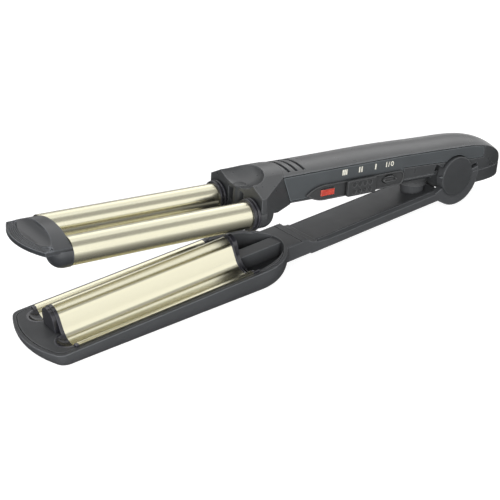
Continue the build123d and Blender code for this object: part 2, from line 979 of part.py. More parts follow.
def handle_bottom_cover():
    cover = handle_body() & lower_zone()
    cover -= control_openings()
    cover -= axle(boss_radius + swing_gap, -40, 40)
    for x in cover_screw_places():
        face = under_height(x)
        cover -= post(small_screw_radius + seat_fit, -5, split_height + 1, x)
        cover -= post(small_head_radius + seat_fit, -5, face + small_head_height + 2 * seat_fit, x)
    return largest(cover)


def under_height(x):
    """Lower line of the handle at x."""
    share = (x - handle_front) / (under_bend - handle_front)
    return under_front + share * (under_rear - under_front)


def bottom_cover_screws():
    return [screw(x, 0, under_height(x) + seat_fit, 5.0) for x in cover_screw_places()]


def tail_cover():
    cover = handle_body() & tail_zone()
    cover -= bar(tail_cavity_front, tail_cavity_rear, tail_cavity_half_width,
                 tail_cavity_floor, tail_cavity_top)
    cover -= rod(gland_radius + seat_fit, gland_front, 80, 0, gland_z)
    cover -= rod(gland_bore, tail_cavity_rear - 1, gland_front + 1, 0, gland_z)
    return largest(cover)


def cord_gland():
    """Bushing where the cord would come in."""
    ring = rod(gland_radius, gland_front, gland_rear, 0, gland_z)
    ring = fillet(ring.edges().filter_by(GeomType.CIRCLE).sort_by(Axis.X)[-1], 0.5)
    return largest(ring - rod(gland_bore, gland_front - 1, gland_rear + 1, 0, gland_z))


def switch_side_panel():
    panel = handle_body() & panel_room(panel_gap)
    return largest(panel - control_openings())


def plain_side_panel():
    return largest(handle_body() & mirror(panel_room(panel_gap), about=Plane.XZ))


# ---- controls -----------------------------------------------------------------
def bezel_area(extra):
    """Boat-shaped outline: pointed ahead, round behind."""
    high = bezel_middle + bezel_half_height + extra
    low = bezel_middle - bezel_half_height - extra
    tip = (bezel_tip - 2 * extra, bezel_middle)
    bend_x = bezel_tip + 0.4 * (bezel_shoulder - bezel_tip)
    bend_rise = 0.73 * (bezel_half_height + extra)
    round_end = (bezel_end + bezel_half_height + extra, bezel_middle)
    return filled(
        ThreePointArc(tip, (bend_x, bezel_middle + bend_rise), (bezel_shoulder, high)),
        Line((bezel_shoulder, high), (bezel_end, high)),
        ThreePointArc((bezel_end, high), round_end, (bezel_end, low)),
        Line((bezel_end, low), (bezel_shoulder, low)),
        ThreePointArc((bezel_shoulder, low), (bend_x, bezel_middle - bend_rise), tip),
    )


def switch_bezel():
    plate = outwards(bezel_area(0), handle_half_width, bezel_face)
    floor = bezel_face - 0.4
    plate -= outwards(bezel_area(-0.9), floor, bezel_face + 1)
    return largest(plate - control_openings())


def pilot_lamp_lens():
    lens = outwards(lens_area(0), handle_cavity_half_width - 0.5, bezel_face + lamp_proud)
    rim_edges = lens.faces().sort_by(Axis.Y)[0].edges()
    return largest(fillet(rim_edges, 0.25))


def pilot_lamp():
    half = lamp_body_length / 2
    front = handle_cavity_half_width - 0.6
    return block(lamp_x - half, lamp_x + half, -front, -board_face, lamp_body_floor, lamp_body_top)


def control_board():
    back = -board_face + board_thickness
    return block(board_front, board_rear, -board_face, back, split_height, board_top)


def temperature_switch():
    half = slider_stem_length / 2 + slider_travel + 2
    x0, x1 = slider_x - half, slider_x + half
    body = block(x0, x1, -switch_face, -board_face, switch_floor, slide_switch_top)
    slot = slider_travel + slider_stem_length / 2 + 0.5
    return largest(body - block(slider_x - slot, slider_x + slot, -20, -switch_face + 1, 5.6, 7.3))


def power_switch():
    x0 = button_x - power_switch_length / 2
    x1 = button_x + power_switch_length / 2
    body = block(x0, x1, -switch_face + 1.5, -board_face, switch_floor, power_switch_top)
    return largest(body + axle(1.6, -switch_face + 0.3, -switch_face + 1.5, button_x, button_z))


def temperature_slider():
    """Thumb slider with two rows of dimples, its stem through the slot."""
    inner = bezel_face + slider_lift
    outer = inner + slider_thickness
    cap_area = Pos(slider_x, bezel_middle) * RectangleRounded(slider_length, slider_height, 1.2)
    cap = outwards(cap_area, inner, outer)
    cap = fillet(cap.faces().sort_by(Axis.Y)[0].edges(), 0.5)
    for column in (-1.5, -0.5, 0.5, 1.5):
        for row in (-0.5, 0.5):
            x = slider_x + column * dimple_pitch_x
            z = bezel_middle + row * dimple_pitch_z
            cap -= axle(dimple_radius, -outer - 1, -outer + dimple_depth, x, z)
    stem_area = Pos(slider_x, bezel_middle) * Rectangle(slider_stem_length, slider_stem_height)
    return largest(cap + outwards(stem_area, switch_face + 0.4, inner))


def power_button():
    """Pointed-oval push button with a flange that keeps it in the wall."""
    cap = outwards(button_area(0), switch_face + 1.2, bezel_face + button_proud)
    cap = fillet(cap.faces().sort_by(Axis.Y)[0].edges(), 0.4)
    flange = outwards(button_area(0.9), switch_face + 1.2, handle_cavity_half_width - 0.25)
    cap += flange & bar(-100, 0, 40, split_height + 0.2, 40)
    face = bezel_face + button_proud
    length = button_length / 2 - 1.2
    groove = rod(button_groove, button_x - length, button_x + length, -face, button_z + button_groove_lift)
    return largest(cap - groove)


# ---- spring -------------------------------------------------------------------
def spring_cup():
    """Ringed drum under the handle, open towards the arm."""
    roof = under_rear - 0.02
    levels = (roof, *cup_steps, cup_rim)
    cup = post(cup_radius, levels[1], levels[0], spring_x)
    cup += post(cup_radius - cup_step, levels[2], levels[1], spring_x)
    cup += post(cup_radius - 2 * cup_step, levels[3], levels[2], spring_x)
    cup -= post(cup_inner_radius, cup_rim, spring_roof, spring_x)
    cup += post(spring_post_radius, spring_roof - 2, spring_roof + 0.5, spring_x)
    return largest(cup)


def opening_spring():
    """Coil between the two seats, as long as the open jaw lets it be."""
    lean = opening_angle - rest_tilt
    reach = spring_radius + spring_wire / 2
    low = turned(spring_x, spring_seat, -rest_tilt)
    high = turned(spring_x, spring_roof, lean)
    z0 = low[1] + reach * math.sin(math.radians(rest_tilt)) + spring_wire / 2
    z1 = high[1] - reach * math.sin(math.radians(lean)) - spring_wire / 2
    x = (low[0] + high[0]) / 2
    path = Helix((z1 - z0) / spring_turns, z1 - z0, spring_radius)
    wire = Plane(origin=path @ 0, z_dir=path % 0) * Circle(spring_wire / 2)
    return Pos(x, 0, z0) * sweep(wire, path=path)


def turned(x, z, angle):
    """Side-view point turned about the hinge, tip upwards."""
    turn = math.radians(angle)
    return (x * math.cos(turn) + z * math.sin(turn), z * math.cos(turn) - x * math.sin(turn))


# ---- forked head --------------------------------------------------------------
def head_top_area():
    """Looking along the barrels: crown, sloping shoulders, upright sides."""
    drop = handle_crown_radius - math.sqrt(handle_crown_radius**2 - head_crown_half**2)
    shoulder = (head_crown_half, head_crown - drop)
    half = Polyline(
        shoulder,
        (head_half_width, head_hip),
        (head_half_width, head_chin),
        (head_half_width - 4, head_floor),
        (0, head_floor),
    )
    crown = ThreePointArc((-shoulder[0], shoulder[1]), (0, head_crown), shoulder)
    return filled(crown, half, mirror(half, about=Plane.YZ))


def side_facet():
    """What lies outside the head's upright facet on the switch side."""
    run = side_facet_end[0] - side_facet_start
    fall = head_half_width - side_facet_end[1]
    return beyond((side_facet_start, -head_half_width, 0), (fall, -run, 0))


def rear_facet():
    """What lies outside the slanting facet that leads into the handle."""
    low = Vector(joint_foot[0], -handle_half_width, joint_foot[1])
    high = Vector(joint_x(head_crown - handle_crown_drop), -handle_half_width, head_crown - handle_crown_drop)
    crest = Vector(*rear_facet_crest)
    return beyond(low, (high - low).cross(crest - low))


def yoke_head():
    body = along(head_top_area(), head_front, joint_foot[0])
    body &= ahead_of_joint()
    pad = along(head_top_area(), head_front, joint_foot[0] + 4) & pad_room(0)
    body += pad & bar(head_front + 5, 0, handle_half_width - 0.1, 0, overrun)
    body += both_sides(barrel_socket())
    body -= both_sides(side_facet())
    body -= both_sides(rear_facet())
    body -= bar(head_front - 1, fork_recess, fork_recess_half_width, 0, fork_recess_top)
    body += stud()
    bores = rod(barrel_radius + seat_fit, head_front - 20, barrel_rear + 0.3, -half_pitch, barrel_height)
    body -= both_sides(bores)
    body -= head_dish()
    body += stud()
    return largest(body - head_cavity())


def head_dish():
    """Oval dish in the top of the head."""
    return ellipsoid(head_front, 0, head_crown, dish_half_length, dish_half_width, dish_depth)


def stud():
    """Round stud between the barrels at the front of the head."""
    pin = post(stud_radius, 0, stud_top, stud_x)
    return fillet(pin.edges().filter_by(GeomType.CIRCLE).sort_by(Axis.Z)[-1], 0.8)


def head_cavity():
    """Room for the thermostat and the wires, with ways into both barrels."""
    room = bar(head_cavity_front, joint_foot[0] + 1, head_cavity_half_width, head_cavity_floor, head_cavity_top)
    top = head_cavity_floor + wire_way_height
    return room + bar(head_cavity_front, head_cavity_front + 4, half_pitch, head_cavity_floor, top) \
        + both_sides(rod(1.6, barrel_rear, head_cavity_front + 2, -half_pitch, head_cavity_floor + 2))


def barrel_socket():
    """Round-ended cup that takes the rear end of a barrel."""
    cup = rod(socket_radius, head_front, socket_rear, -half_pitch, barrel_height)
    return fillet(cup.edges().filter_by(GeomType.CIRCLE).sort_by(Axis.X)[-1], socket_round)


def barrel_collar():
    """Ringed insulator where a barrel enters the head."""
    ring = rod(collar_root_radius, collar_front, head_front, -half_pitch, barrel_height)
    first = rod(collar_front_radius, collar_front + 0.2, collar_front + 1.7, -half_pitch, barrel_height)
    second = rod(collar_rear_radius, collar_front + 2.4, collar_front + 4.3, -half_pitch, barrel_height)
    ring += fillet(first.edges().filter_by(GeomType.CIRCLE), 0.4)
    ring += fillet(second.edges().filter_by(GeomType.CIRCLE), 0.5)
    bore = rod(barrel_radius + seat_fit, collar_front - 1, head_front + 1, -half_pitch, barrel_height)
    return largest(ring - bore)


def barrel():
    tube = rod(barrel_radius, barrel_front, barrel_rear, -half_pitch, barrel_height)
    bore = rod(barrel_radius - barrel_wall, barrel_front - 1, barrel_rear + 1, -half_pitch, barrel_height)
    return largest(tube - bore)


def core(side):
    """Half-round aluminium core, above (1) or below (-1) the heater."""
    radius = barrel_radius - barrel_wall - seat_fit
    body = rod(radius, core_front, core_rear, -half_pitch, barrel_height)
    near = barrel_height + side * core_gap / 2
    z0, z1 = sorted((near, near + side * radius))
    return largest(body & block(core_front, core_rear, -40, 0, z0, z1))


def barrel_heater():
    half = barrel_heater_width / 2
    return block(barrel_heater_front, barrel_heater_rear, -half_pitch - half, -half_pitch + half,
                 barrel_height - core_gap / 2, barrel_height + core_gap / 2)


def barrel_thermostat():
    return axle(3.0, -5, 5, -152, 8.4)


# ---- tip cap ------------------------------------------------------------------
def bill_plan(inset):
    """Bowed front edge of the thumb rest, from above."""
    return Pos(bill_front + bill_plan_radius, 0) * Circle(bill_plan_radius - inset)


def bill_plate():
    plan = bill_plan(0) & Pos(bill_front, 0) * Rectangle(2 * (barrel_front - bill_front), 2 * bill_half_width)
    plate = upright(plan, bill_top - bill_thickness, bill_top)
    return plate


def saddle():
    """Arch over the barrel ends, hollowed towards the front."""
    rise = saddle_top - bill_top
    radius = (bill_half_width**2 + rise**2) / (2 * rise)
    disc = Pos(0, saddle_top - radius) * Circle(radius)
    area = disc & Pos(0, bill_top) * Rectangle(2 * bill_half_width, 2 * rise)
    arch = along(area, saddle_front, barrel_front)
    arch &= bar(-reach, 0, overrun, bill_top - bill_thickness / 2, overrun)
    return arch - ellipsoid(scoop_x, 0, scoop_z, scoop_half_length, scoop_half_width, scoop_depth)


def tip_grooves():
    """Grooves that follow the front edge of the thumb rest."""
    rings = None
    for index in range(tip_groove_count):
        inset = tip_groove_inset + index * tip_groove_pitch
        ring = upright(bill_plan(inset) - bill_plan(inset + tip_groove_width), bill_top - tip_groove_depth, bill_top + 1)
        ring &= bar(-reach, saddle_front + 5, bill_half_width - 0.6, 0, overrun)
        rings = ring if rings is None else rings + ring
    return rings


def ridge_room():
    """Space that the closed plate's ridge and end disc take up between the barrels."""
    front = plate_front - front_collar_length - half_disc_length - hair_gap
    room = rod(ridge_radius + hair_gap, front, barrel_front + 1, 0, ridge_height)
    return room + bar(front, barrel_front + 1, ridge_foot, -overrun, ridge_height)


def tip_cap():
    cap = bill_plate() + saddle()
    cap -= tip_grooves()
    cup_top = bill_top - bill_thickness / 2
    low_zone = block(-reach, barrel_front, -overrun, 0, -overrun, cup_top)
    ball = Pos(cup_end_center, -half_pitch, barrel_height) * Sphere(cup_end_radius)
    tube = rod(cup_end_radius, cup_end_center, barrel_front, -half_pitch, barrel_height)
    cap += both_sides(ball & low_zone)
    cap += both_sides(tube & low_zone)
    cap += bar(tip_web_front, barrel_front, half_pitch, tip_web_floor, cup_top)
    cap -= ridge_room()
    spigot = rod(spigot_radius, barrel_front, barrel_front + spigot_length, -half_pitch, barrel_height)
    cap += both_sides(spigot)
    hole = rod(tip_screw_hole, -reach, tip_screw_seat, -half_pitch, tip_screw_z)
    hole += rod(tip_screw_radius + seat_fit, -reach, tip_screw_end + 1, -half_pitch, tip_screw_z)
    return largest(cap - both_sides(hole))


def tip_screws():
    shank = rod(tip_screw_radius, tip_screw_seat, tip_screw_end, -half_pitch, tip_screw_z)
    return [shank, mirror(shank, about=Plane.XZ)]


# ---- assembly -----------------------------------------------------------------
def other_side(shape):
    return mirror(shape, about=Plane.XZ)


def lower_pieces():
    return {
        "lower_arm_shell": lower_arm_shell(),
        "wave_plate": wave_plate(),
        "front_plate_holder": front_plate_holder(),
        "rear_plate_holder": rear_plate_holder(),
        "heat_spreader": heat_spreader(),
        "plate_heater": plate_heater(),
        "heater_clamp": heater_clamp(),
        "heater_clamp_screws": heater_clamp_screws(),
        "mica_sheet": mica_sheet(),
        "plate_thermal_fuse": plate_thermal_fuse(),
        "wire_cover": wire_cover(),
        "wire_cover_screws": wire_cover_screws(),
        "hinge_pin": hinge_pin(),
        "switch_side_hinge_cap": switch_side_hinge_cap(),
        "plain_side_hinge_cap": plain_side_hinge_cap(),
    }


def upper_pieces():
    return {
        "handle_shell": handle_shell(),
        "handle_bottom_cover": handle_bottom_cover(),
        "bottom_cover_screws": bottom_cover_screws(),
        "tail_cover": tail_cover(),
        "switch_side_panel": switch_side_panel(),
        "plain_side_panel": plain_side_panel(),
        "switch_bezel": switch_bezel(),
        "pilot_lamp_lens": pilot_lamp_lens(),
        "pilot_lamp": pilot_lamp(),
        "control_board": control_board(),
        "temperature_switch": temperature_switch(),
        "power_switch": power_switch(),
        "temperature_slider": temperature_slider(),
        "power_button": power_button(),
        "spring_cup": spring_cup(),
        "yoke_head": yoke_head(),
        "switch_side_collar": barrel_collar(),
        "plain_side_collar": other_side(barrel_collar()),
        "switch_side_barrel": barrel(),
        "plain_side_barrel": other_side(barrel()),
        "switch_side_upper_core": core(1),
        "switch_side_lower_core": core(-1),
        "plain_side_upper_core": other_side(core(1)),
        "plain_side_lower_core": other_side(core(-1)),
        "switch_side_heater": barrel_heater(),
        "plain_side_heater": other_side(barrel_heater()),
        "barrel_thermostat": barrel_thermostat(),
        "tip_cap": tip_cap(),
        "tip_screws": tip_screws(),
        "cord_gland": cord_gland(),
    }


def as_shape(piece):
    return Compound(piece) if isinstance(piece, list) else piece


def hinge_above_floor():
    """Height of the hinge when the flat of the jaw lies on the floor."""
    return -turned(hull_pivot, rim - hull_depth, -rest_tilt)[1]


def placed():
    """All pieces at rest: jaw open, flat of the lower jaw on the floor."""
    lower_turn = Rot(0, -rest_tilt, 0)
    upper_turn = Rot(0, opening_angle - rest_tilt, 0)
    pieces = {name: lower_turn * as_shape(piece) for name, piece in lower_pieces().items()}
    pieces["opening_spring"] = opening_spring()
    for name, piece in upper_pieces().items():
        pieces[name] = upper_turn * as_shape(piece)
    boxes = [piece.bounding_box() for piece in pieces.values()]
    front = min(box.min.X for box in boxes)
    rear = max(box.max.X for box in boxes)
    shift = Pos(-(front + rear) / 2, 0, hinge_above_floor())
    print("hinge axis at x", -(front + rear) / 2, "z", hinge_above_floor())
    return {name: shift * piece for name, piece in pieces.items()}


os.makedirs("parts", exist_ok=True)
for node, solid in placed().items():
    export_step(solid, os.path.join("parts", node + ".step"))
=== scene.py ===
import json
import math
import bmesh
import bpy
from mathutils import Matrix, Vector


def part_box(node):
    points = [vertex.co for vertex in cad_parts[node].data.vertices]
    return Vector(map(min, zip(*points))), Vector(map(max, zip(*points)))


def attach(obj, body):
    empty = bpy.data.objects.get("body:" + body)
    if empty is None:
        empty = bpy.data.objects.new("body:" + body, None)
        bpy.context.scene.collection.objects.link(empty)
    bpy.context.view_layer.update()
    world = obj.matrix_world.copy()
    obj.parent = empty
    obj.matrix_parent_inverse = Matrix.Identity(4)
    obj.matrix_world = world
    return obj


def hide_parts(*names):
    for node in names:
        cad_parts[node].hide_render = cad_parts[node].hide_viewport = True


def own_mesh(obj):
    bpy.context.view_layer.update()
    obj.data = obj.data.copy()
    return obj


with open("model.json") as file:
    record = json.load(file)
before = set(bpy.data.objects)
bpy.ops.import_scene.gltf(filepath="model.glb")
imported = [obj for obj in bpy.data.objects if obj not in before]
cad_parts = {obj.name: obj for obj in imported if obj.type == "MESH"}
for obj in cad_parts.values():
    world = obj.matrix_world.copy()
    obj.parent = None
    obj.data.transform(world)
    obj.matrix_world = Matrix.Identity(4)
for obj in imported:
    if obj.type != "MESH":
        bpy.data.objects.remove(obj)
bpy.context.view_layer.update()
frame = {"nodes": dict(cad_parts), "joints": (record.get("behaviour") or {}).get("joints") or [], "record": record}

# The part's drawing frame is millimetres from the hinge, with the jaw closed.
HINGE = Vector(next(joint for joint in frame["joints"] if joint["name"] == "jaw_hinge")["pos_m"])
UPPER_LEAN = math.radians(7.101)


def on_upper(x, y, z):
    """Point of the drawing frame, in metres, as the upper arm carries it at rest."""
    c, s = math.cos(UPPER_LEAN), math.sin(UPPER_LEAN)
    return HINGE + Vector((x * c + z * s, y, z * c - x * s)) / 1000


# ---- node trees ----------------------------------------------------------------
# Sockets of the Mix node that carry colours.
MIX_COLOURS = (6, 7)
MIX_RESULT = 2


class Tree:
    """Nodes of a material or of the world. Inputs take plain values or other nodes' outputs."""

    def __init__(self, owner):
        owner.use_nodes = True
        self.nodes = owner.node_tree.nodes
        self.links = owner.node_tree.links

    def feed(self, socket, value):
        if isinstance(value, bpy.types.NodeSocket):
            self.links.new(value, socket)
        else:
            socket.default_value = value

    def add(self, kind, inputs=None, **properties):
        """New node; inputs go by name or number, and properties are the node's own."""
        node = self.nodes.new("ShaderNode" + kind)
        for name, value in properties.items():
            setattr(node, name, value)
        for key, value in (inputs or {}).items():
            self.feed(node.inputs[key], value)
        return node

    def math(self, operation, one, two=None):
        inputs = {0: one} if two is None else {0: one, 1: two}
        return self.add("Math", inputs, operation=operation).outputs[0]

    def vector(self, operation, one, two):
        return self.add("VectorMath", {0: one, 1: two}, operation=operation).outputs

    def ramp(self, value, low, high, start=0.3, end=0.7, kind="LINEAR"):
        """Numbers from low to high as value goes from start to end."""
        inputs = {"Value": value, "From Min": start, "From Max": end, "To Min": low, "To Max": high}
        return self.add("MapRange", inputs, interpolation_type=kind).outputs["Result"]

    def emission(self, strength):
        inputs = {"Color": (1, 1, 1, 1), "Strength": strength}
        return self.add("Emission", inputs).outputs[0]

    def diffuse(self, grey):
        return self.add("BsdfDiffuse", {"Color": (grey, grey, grey, 1)}).outputs[0]

    def seen_directly(self):
        """1 for camera, mirror and glass rays."""
        path = self.add("LightPath").outputs
        camera_or_mirror = self.math("MAXIMUM", path["Is Camera Ray"], path["Is Glossy Ray"])
        return self.math("MAXIMUM", camera_or_mirror, path["Is Transmission Ray"])


# ---- finishes ------------------------------------------------------------------
# How far a rim, with its painted highlight, a corner, with its painted shade, and a rounded edge reach, in metres.
RIM_REACH = 0.0008
CORNER_REACH = 0.002
EDGE_RADIUS = 0.0008
EDGE_SAMPLES = 6
# Occlusion that counts as closed at rims and in corners, and as open in both.
RIM_CLOSED = 0.35
CORNER_CLOSED = 0.25
OPEN = 0.95
OCCLUSION_SAMPLES = 8

# Moulded plastic: noise scales per metre, and how the coarse grain weighs against the fine.
CLOUD_SCALE = 55
RUB_SCALE = 140
FINE_GRAIN_SCALE = 5200
COARSE_GRAIN_SCALE = 1500
COARSE_GRAIN_SHARE = 0.7
# Its clouds' change of colour, the shares of its rims' painted highlight and its corners' painted shade, and that
# shade's colour.
CLOUD_TINT = 0.08
RIM_SHARE = 0.8
CORNER_SHARE = 0.85
CORNER_PAINTED_SHADE = 0.1
RIM_POLISH = 0.12
COAT_ROUGHNESS = 0.15
# Roughness of every finish varies by this much below and above its own.
SMOOTHER, ROUGHER = 0.02, 0.03

# Metal: scales of its fine lines and broad bands, their relief, and their change of colour.
LINE_SCALE = 9000
BAND_SCALE = 200
LINE_RELIEF = 0.0000003
METAL_TINT = 0.02


class Finish(Tree):
    """One material's shader and the steps that finishes are made of."""

    def __init__(self, name):
        self.material = bpy.data.materials.new(name)
        super().__init__(self.material)
        self.shader = self.nodes["Principled BSDF"]
        self.coords = self.add("TexCoord").outputs["Object"]

    def set(self, **sockets):
        """Shader inputs by name, with spaces as underscores."""
        for name, value in sockets.items():
            self.feed(self.shader.inputs[name.replace("_", " ")], value)

    def noise(self, scale, stretch=(1, 1, 1), detail=3.0, rough=0.5):
        """Noise over the object, scale per metre."""
        stretched = {"Vector": self.coords, "Scale": [scale * s for s in stretch]}
        place = self.add("Mapping", stretched).outputs["Vector"]
        inputs = {"Vector": place, "Scale": 1.0, "Detail": detail, "Roughness": rough}
        return self.add("TexNoise", inputs).outputs["Fac"]

    def wave(self, bands, **inputs):
        """Even bands along an axis; inputs of the wave texture by name."""
        named = {name.replace("_", " "): value for name, value in inputs.items()}
        node = self.add("TexWave", {"Vector": self.coords} | named, bands_direction=bands)
        return node.outputs["Fac"]

    def mix(self, factor, *colours):
        """Colour between two colours."""
        inputs = {"Factor": factor}
        for socket, colour in zip(MIX_COLOURS, colours):
            inputs[socket] = (*colour, 1) if isinstance(colour, tuple) else colour
        return self.add("Mix", inputs, data_type="RGBA").outputs[MIX_RESULT]

    def bump(self, height, depth, normal=None):
        """Relief of that depth in metres."""
        inputs = {"Height": height, "Distance": depth}
        if normal is not None:
            inputs["Normal"] = normal
        return self.add("Bump", inputs).outputs["Normal"]

    def along(self, point, direction):
        """Distance from a point along a direction, in metres."""
        away = self.vector("SUBTRACT", self.coords, point)["Vector"]
        return self.vector("DOT_PRODUCT", away, direction)["Value"]

    def near(self, reach, inside, closed):
        """1 where another face of the model comes within reach, on that side of the face."""
        node = self.add("AmbientOcclusion", {"Distance": reach},
                        samples=OCCLUSION_SAMPLES, inside=inside, only_local=inside)
        return self.ramp(node.outputs["AO"], 1.0, 0.0, closed, OPEN)

    def rims(self, reach=RIM_REACH):
        return self.near(reach, True, RIM_CLOSED)

    def corners(self):
        return self.near(CORNER_REACH, False, CORNER_CLOSED)

    def rounded(self):
        """Normal with the model's sharp edges rounded off."""
        node = self.add("Bevel", {"Radius": EDGE_RADIUS}, samples=EDGE_SAMPLES)
        return node.outputs["Normal"]


def shade(colour, factor):
    return tuple(c * factor for c in colour)


def varied(g, noise, roughness):
    """Roughness that a noise varies a little."""
    return g.ramp(noise, roughness - SMOOTHER, roughness + ROUGHER)


def tinted(g, noise, colour, change):
    """Colour that a noise varies by a share of itself."""
    return g.mix(g.ramp(noise, 0, 1), shade(colour, 1 - change), shade(colour, 1 + change))


def moulded(name, colour, roughness, grain=0.000012, rim_highlight=3.2, coat=0.0, shine=0.35):
    """Moulded plastic: sparked grain, faint flow clouds, smoother rims with a painted highlight, painted shade in
    corners.

    Grain is the relief's depth in metres, and rim_highlight how many times paler a rim is painted.
    """
    g = Finish(name)
    tint = tinted(g, g.noise(CLOUD_SCALE, detail=4), colour, CLOUD_TINT)
    # Painted highlight: rims are paler in the base colour, for the light that rounded edges catch.
    rim = g.rims()
    rubbed_and_highlighted = g.mix(g.math("MULTIPLY", rim, RIM_SHARE), tint, shade(colour, rim_highlight))
    # Painted shade: corners and crevices are darker in the base colour.
    corner = g.math("MULTIPLY", g.corners(), CORNER_SHARE)
    rub = varied(g, g.noise(RUB_SCALE, detail=5), roughness)
    fine = g.noise(FINE_GRAIN_SCALE, detail=2)
    coarse = g.math("MULTIPLY", g.noise(COARSE_GRAIN_SCALE, detail=2), COARSE_GRAIN_SHARE)
    g.set(Base_Color=g.mix(corner, rubbed_and_highlighted, shade(colour, CORNER_PAINTED_SHADE)))
    g.set(Roughness=g.math("SUBTRACT", rub, g.math("MULTIPLY", rim, RIM_POLISH)))
    g.set(Normal=g.bump(g.math("ADD", fine, coarse), grain, g.rounded()))
    g.set(Specular_IOR_Level=shine, Coat_Weight=coat, Coat_Roughness=COAT_ROUGHNESS)
    return g.material


def satin_metal(name, colour, roughness, streak=(1, 1, 1), draw=0.0):
    """Metal with fine lines in it; draw is the depth of the waves that drawing it leaves."""
    g = Finish(name)
    lines = g.noise(LINE_SCALE, streak, detail=3, rough=0.6)
    bands = g.noise(BAND_SCALE, streak, detail=2)
    both = g.math("ADD", g.math("MULTIPLY", lines, 0.5), g.math("MULTIPLY", bands, 0.5))
    normal = g.bump(lines, LINE_RELIEF)
    if draw:
        normal = g.bump(g.wave("Y", Scale=35, Phase_Offset=1.6), draw, normal)
    g.set(Base_Color=tinted(g, both, colour, METAL_TINT), Metallic=1.0)
    g.set(Roughness=varied(g, lines, roughness), Normal=normal)
    return g.material


def ceramic(name, colour, roughness, speck):
    """Dry sheet or fired block with specks."""
    g = Finish(name)
    dots = g.ramp(g.noise(900, detail=6), 0, 1, 0.45, 0.62)
    g.set(Base_Color=g.mix(dots, colour, speck))
    g.set(Roughness=g.ramp(dots, roughness, roughness + 0.1), Normal=g.bump(g.noise(2500), 0.00004))
    return g.material


# Middle of the lens in the drawing frame.
LENS_MIDDLE = (-109.9, -15.0, 6.4)
# Clear height of its window, and the width of the border's soft edge, in metres.
LENS_WINDOW = 0.0040
BORDER_BLUR = 0.00015
LENS_RED = (0.34, 0.022, 0.012), (0.56, 0.06, 0.035)
LENS_RIM_HIGHLIGHT = (0.8, 0.32, 0.24)
LENS_RIM_REACH = 0.0006
LENS_BORDER = (0.02, 0.02, 0.02)


def red_lens(name):
    """Clear red lens over a ribbed reflector, near black above and below its window, its rims painted with a pale
    highlight.
    """
    g = Finish(name)
    red = g.mix(g.ramp(g.noise(320, detail=3), 0, 1), *LENS_RED)
    # Painted highlight: the lens's rims are paler pink in the base colour.
    lit = g.mix(g.rims(LENS_RIM_REACH), red, LENS_RIM_HIGHLIGHT)
    height = g.along(on_upper(*LENS_MIDDLE), on_upper(0, 0, 1000) - on_upper(0, 0, 0))
    edge = LENS_WINDOW / 2
    border = g.ramp(g.math("ABSOLUTE", height), 0, 1, edge - BORDER_BLUR, edge)
    g.set(Base_Color=g.mix(border, lit, LENS_BORDER), Roughness=0.16)
    g.set(Normal=g.bump(g.wave("Z", Scale=300, Distortion=0.6), 0.00012))
    g.set(Coat_Weight=0.6, Coat_Roughness=0.08)
    g.set(Subsurface_Weight=0.2, Subsurface_Radius=(0.002, 0.0004, 0.0003))
    return g.material


def circuit_board(name):
    """Green solder mask with copper tracks under it."""
    g = Finish(name)
    cells = g.add("TexVoronoi", {"Vector": g.coords, "Scale": 260}, feature="DISTANCE_TO_EDGE")
    track = g.ramp(cells.outputs["Distance"], 1, 0, 0.06, 0.09)
    g.set(Base_Color=g.mix(track, (0.015, 0.1, 0.04), (0.05, 0.22, 0.09)), Roughness=0.3)
    g.set(Normal=g.bump(track, 0.00004))
    return g.material


def printed(name, colour):
    """Pad-printed ink, slightly rubbed off."""
    g = Finish(name)
    rubbed_and_highlighted = g.ramp(g.noise(2600, detail=5), 0, 1, 0.3, 0.5)
    g.set(Base_Color=g.mix(rubbed_and_highlighted, shade(colour, 0.7), colour), Roughness=g.ramp(rubbed_and_highlighted, 0.7, 0.5))
    return g.material


CHAMPAGNE = (0.85, 0.815, 0.625)
# Lines of drawn metal run along x.
DRAWN = (0.02, 1, 1)

FINISHES = {
    "black_plastic": moulded("black_plastic", (0.040, 0.042, 0.044), 0.29, shine=0.65),
    "panel_plastic": moulded("panel_plastic", (0.056, 0.062, 0.066), 0.36, shine=0.5),
    "dark_plastic": moulded("dark_plastic", (0.036, 0.037, 0.038), 0.38, shine=0.5),
    "gloss_black": moulded("gloss_black", (0.020, 0.020, 0.024), 0.16, grain=0.000003, coat=0.6),
    "champagne_anodising": satin_metal("champagne_anodising", CHAMPAGNE, 0.22, DRAWN),
    "cast_aluminium": satin_metal("cast_aluminium", (0.62, 0.62, 0.62), 0.45),
    "heater_ceramic": ceramic("heater_ceramic", (0.75, 0.62, 0.42), 0.5, (0.6, 0.46, 0.28)),
    "mica": ceramic("mica", (0.50, 0.42, 0.28), 0.35, (0.62, 0.55, 0.4)),
    "component_plastic": moulded("component_plastic", (0.06, 0.06, 0.065), 0.5),
    "board_green": circuit_board("board_green"),
    "red_lens": red_lens("red_lens"),
    "gland_rubber": moulded("gland_rubber", (0.016, 0.016, 0.016), 0.62, grain=0.00004),
    "bright_steel": satin_metal("bright_steel", (0.58, 0.58, 0.57), 0.28),
    "spring_steel": satin_metal("spring_steel", (0.20, 0.20, 0.21), 0.35),
}
INK = printed("cream_ink", (0.78, 0.76, 0.66))

ARM = moulded("arm_plastic", (0.056, 0.058, 0.061), 0.40, shine=0.22)
TIP = moulded("tip_plastic", (0.024, 0.026, 0.029), 0.30, rim_highlight=5.5, shine=0.8)
CAP = moulded("cap_plastic", (0.036, 0.038, 0.040), 0.36, shine=0.5)
PLATE = satin_metal("champagne_plate", CHAMPAGNE, 0.22, DRAWN, draw=0.0004)

# Parts that look a little different from the rest of their material slot.
OWN_FINISHES = {
    "wave_plate": PLATE,
    "tip_cap": TIP,
    "lower_arm_shell": ARM,
    "wire_cover": ARM,
    "switch_side_hinge_cap": CAP,
    "plain_side_hinge_cap": CAP,
}

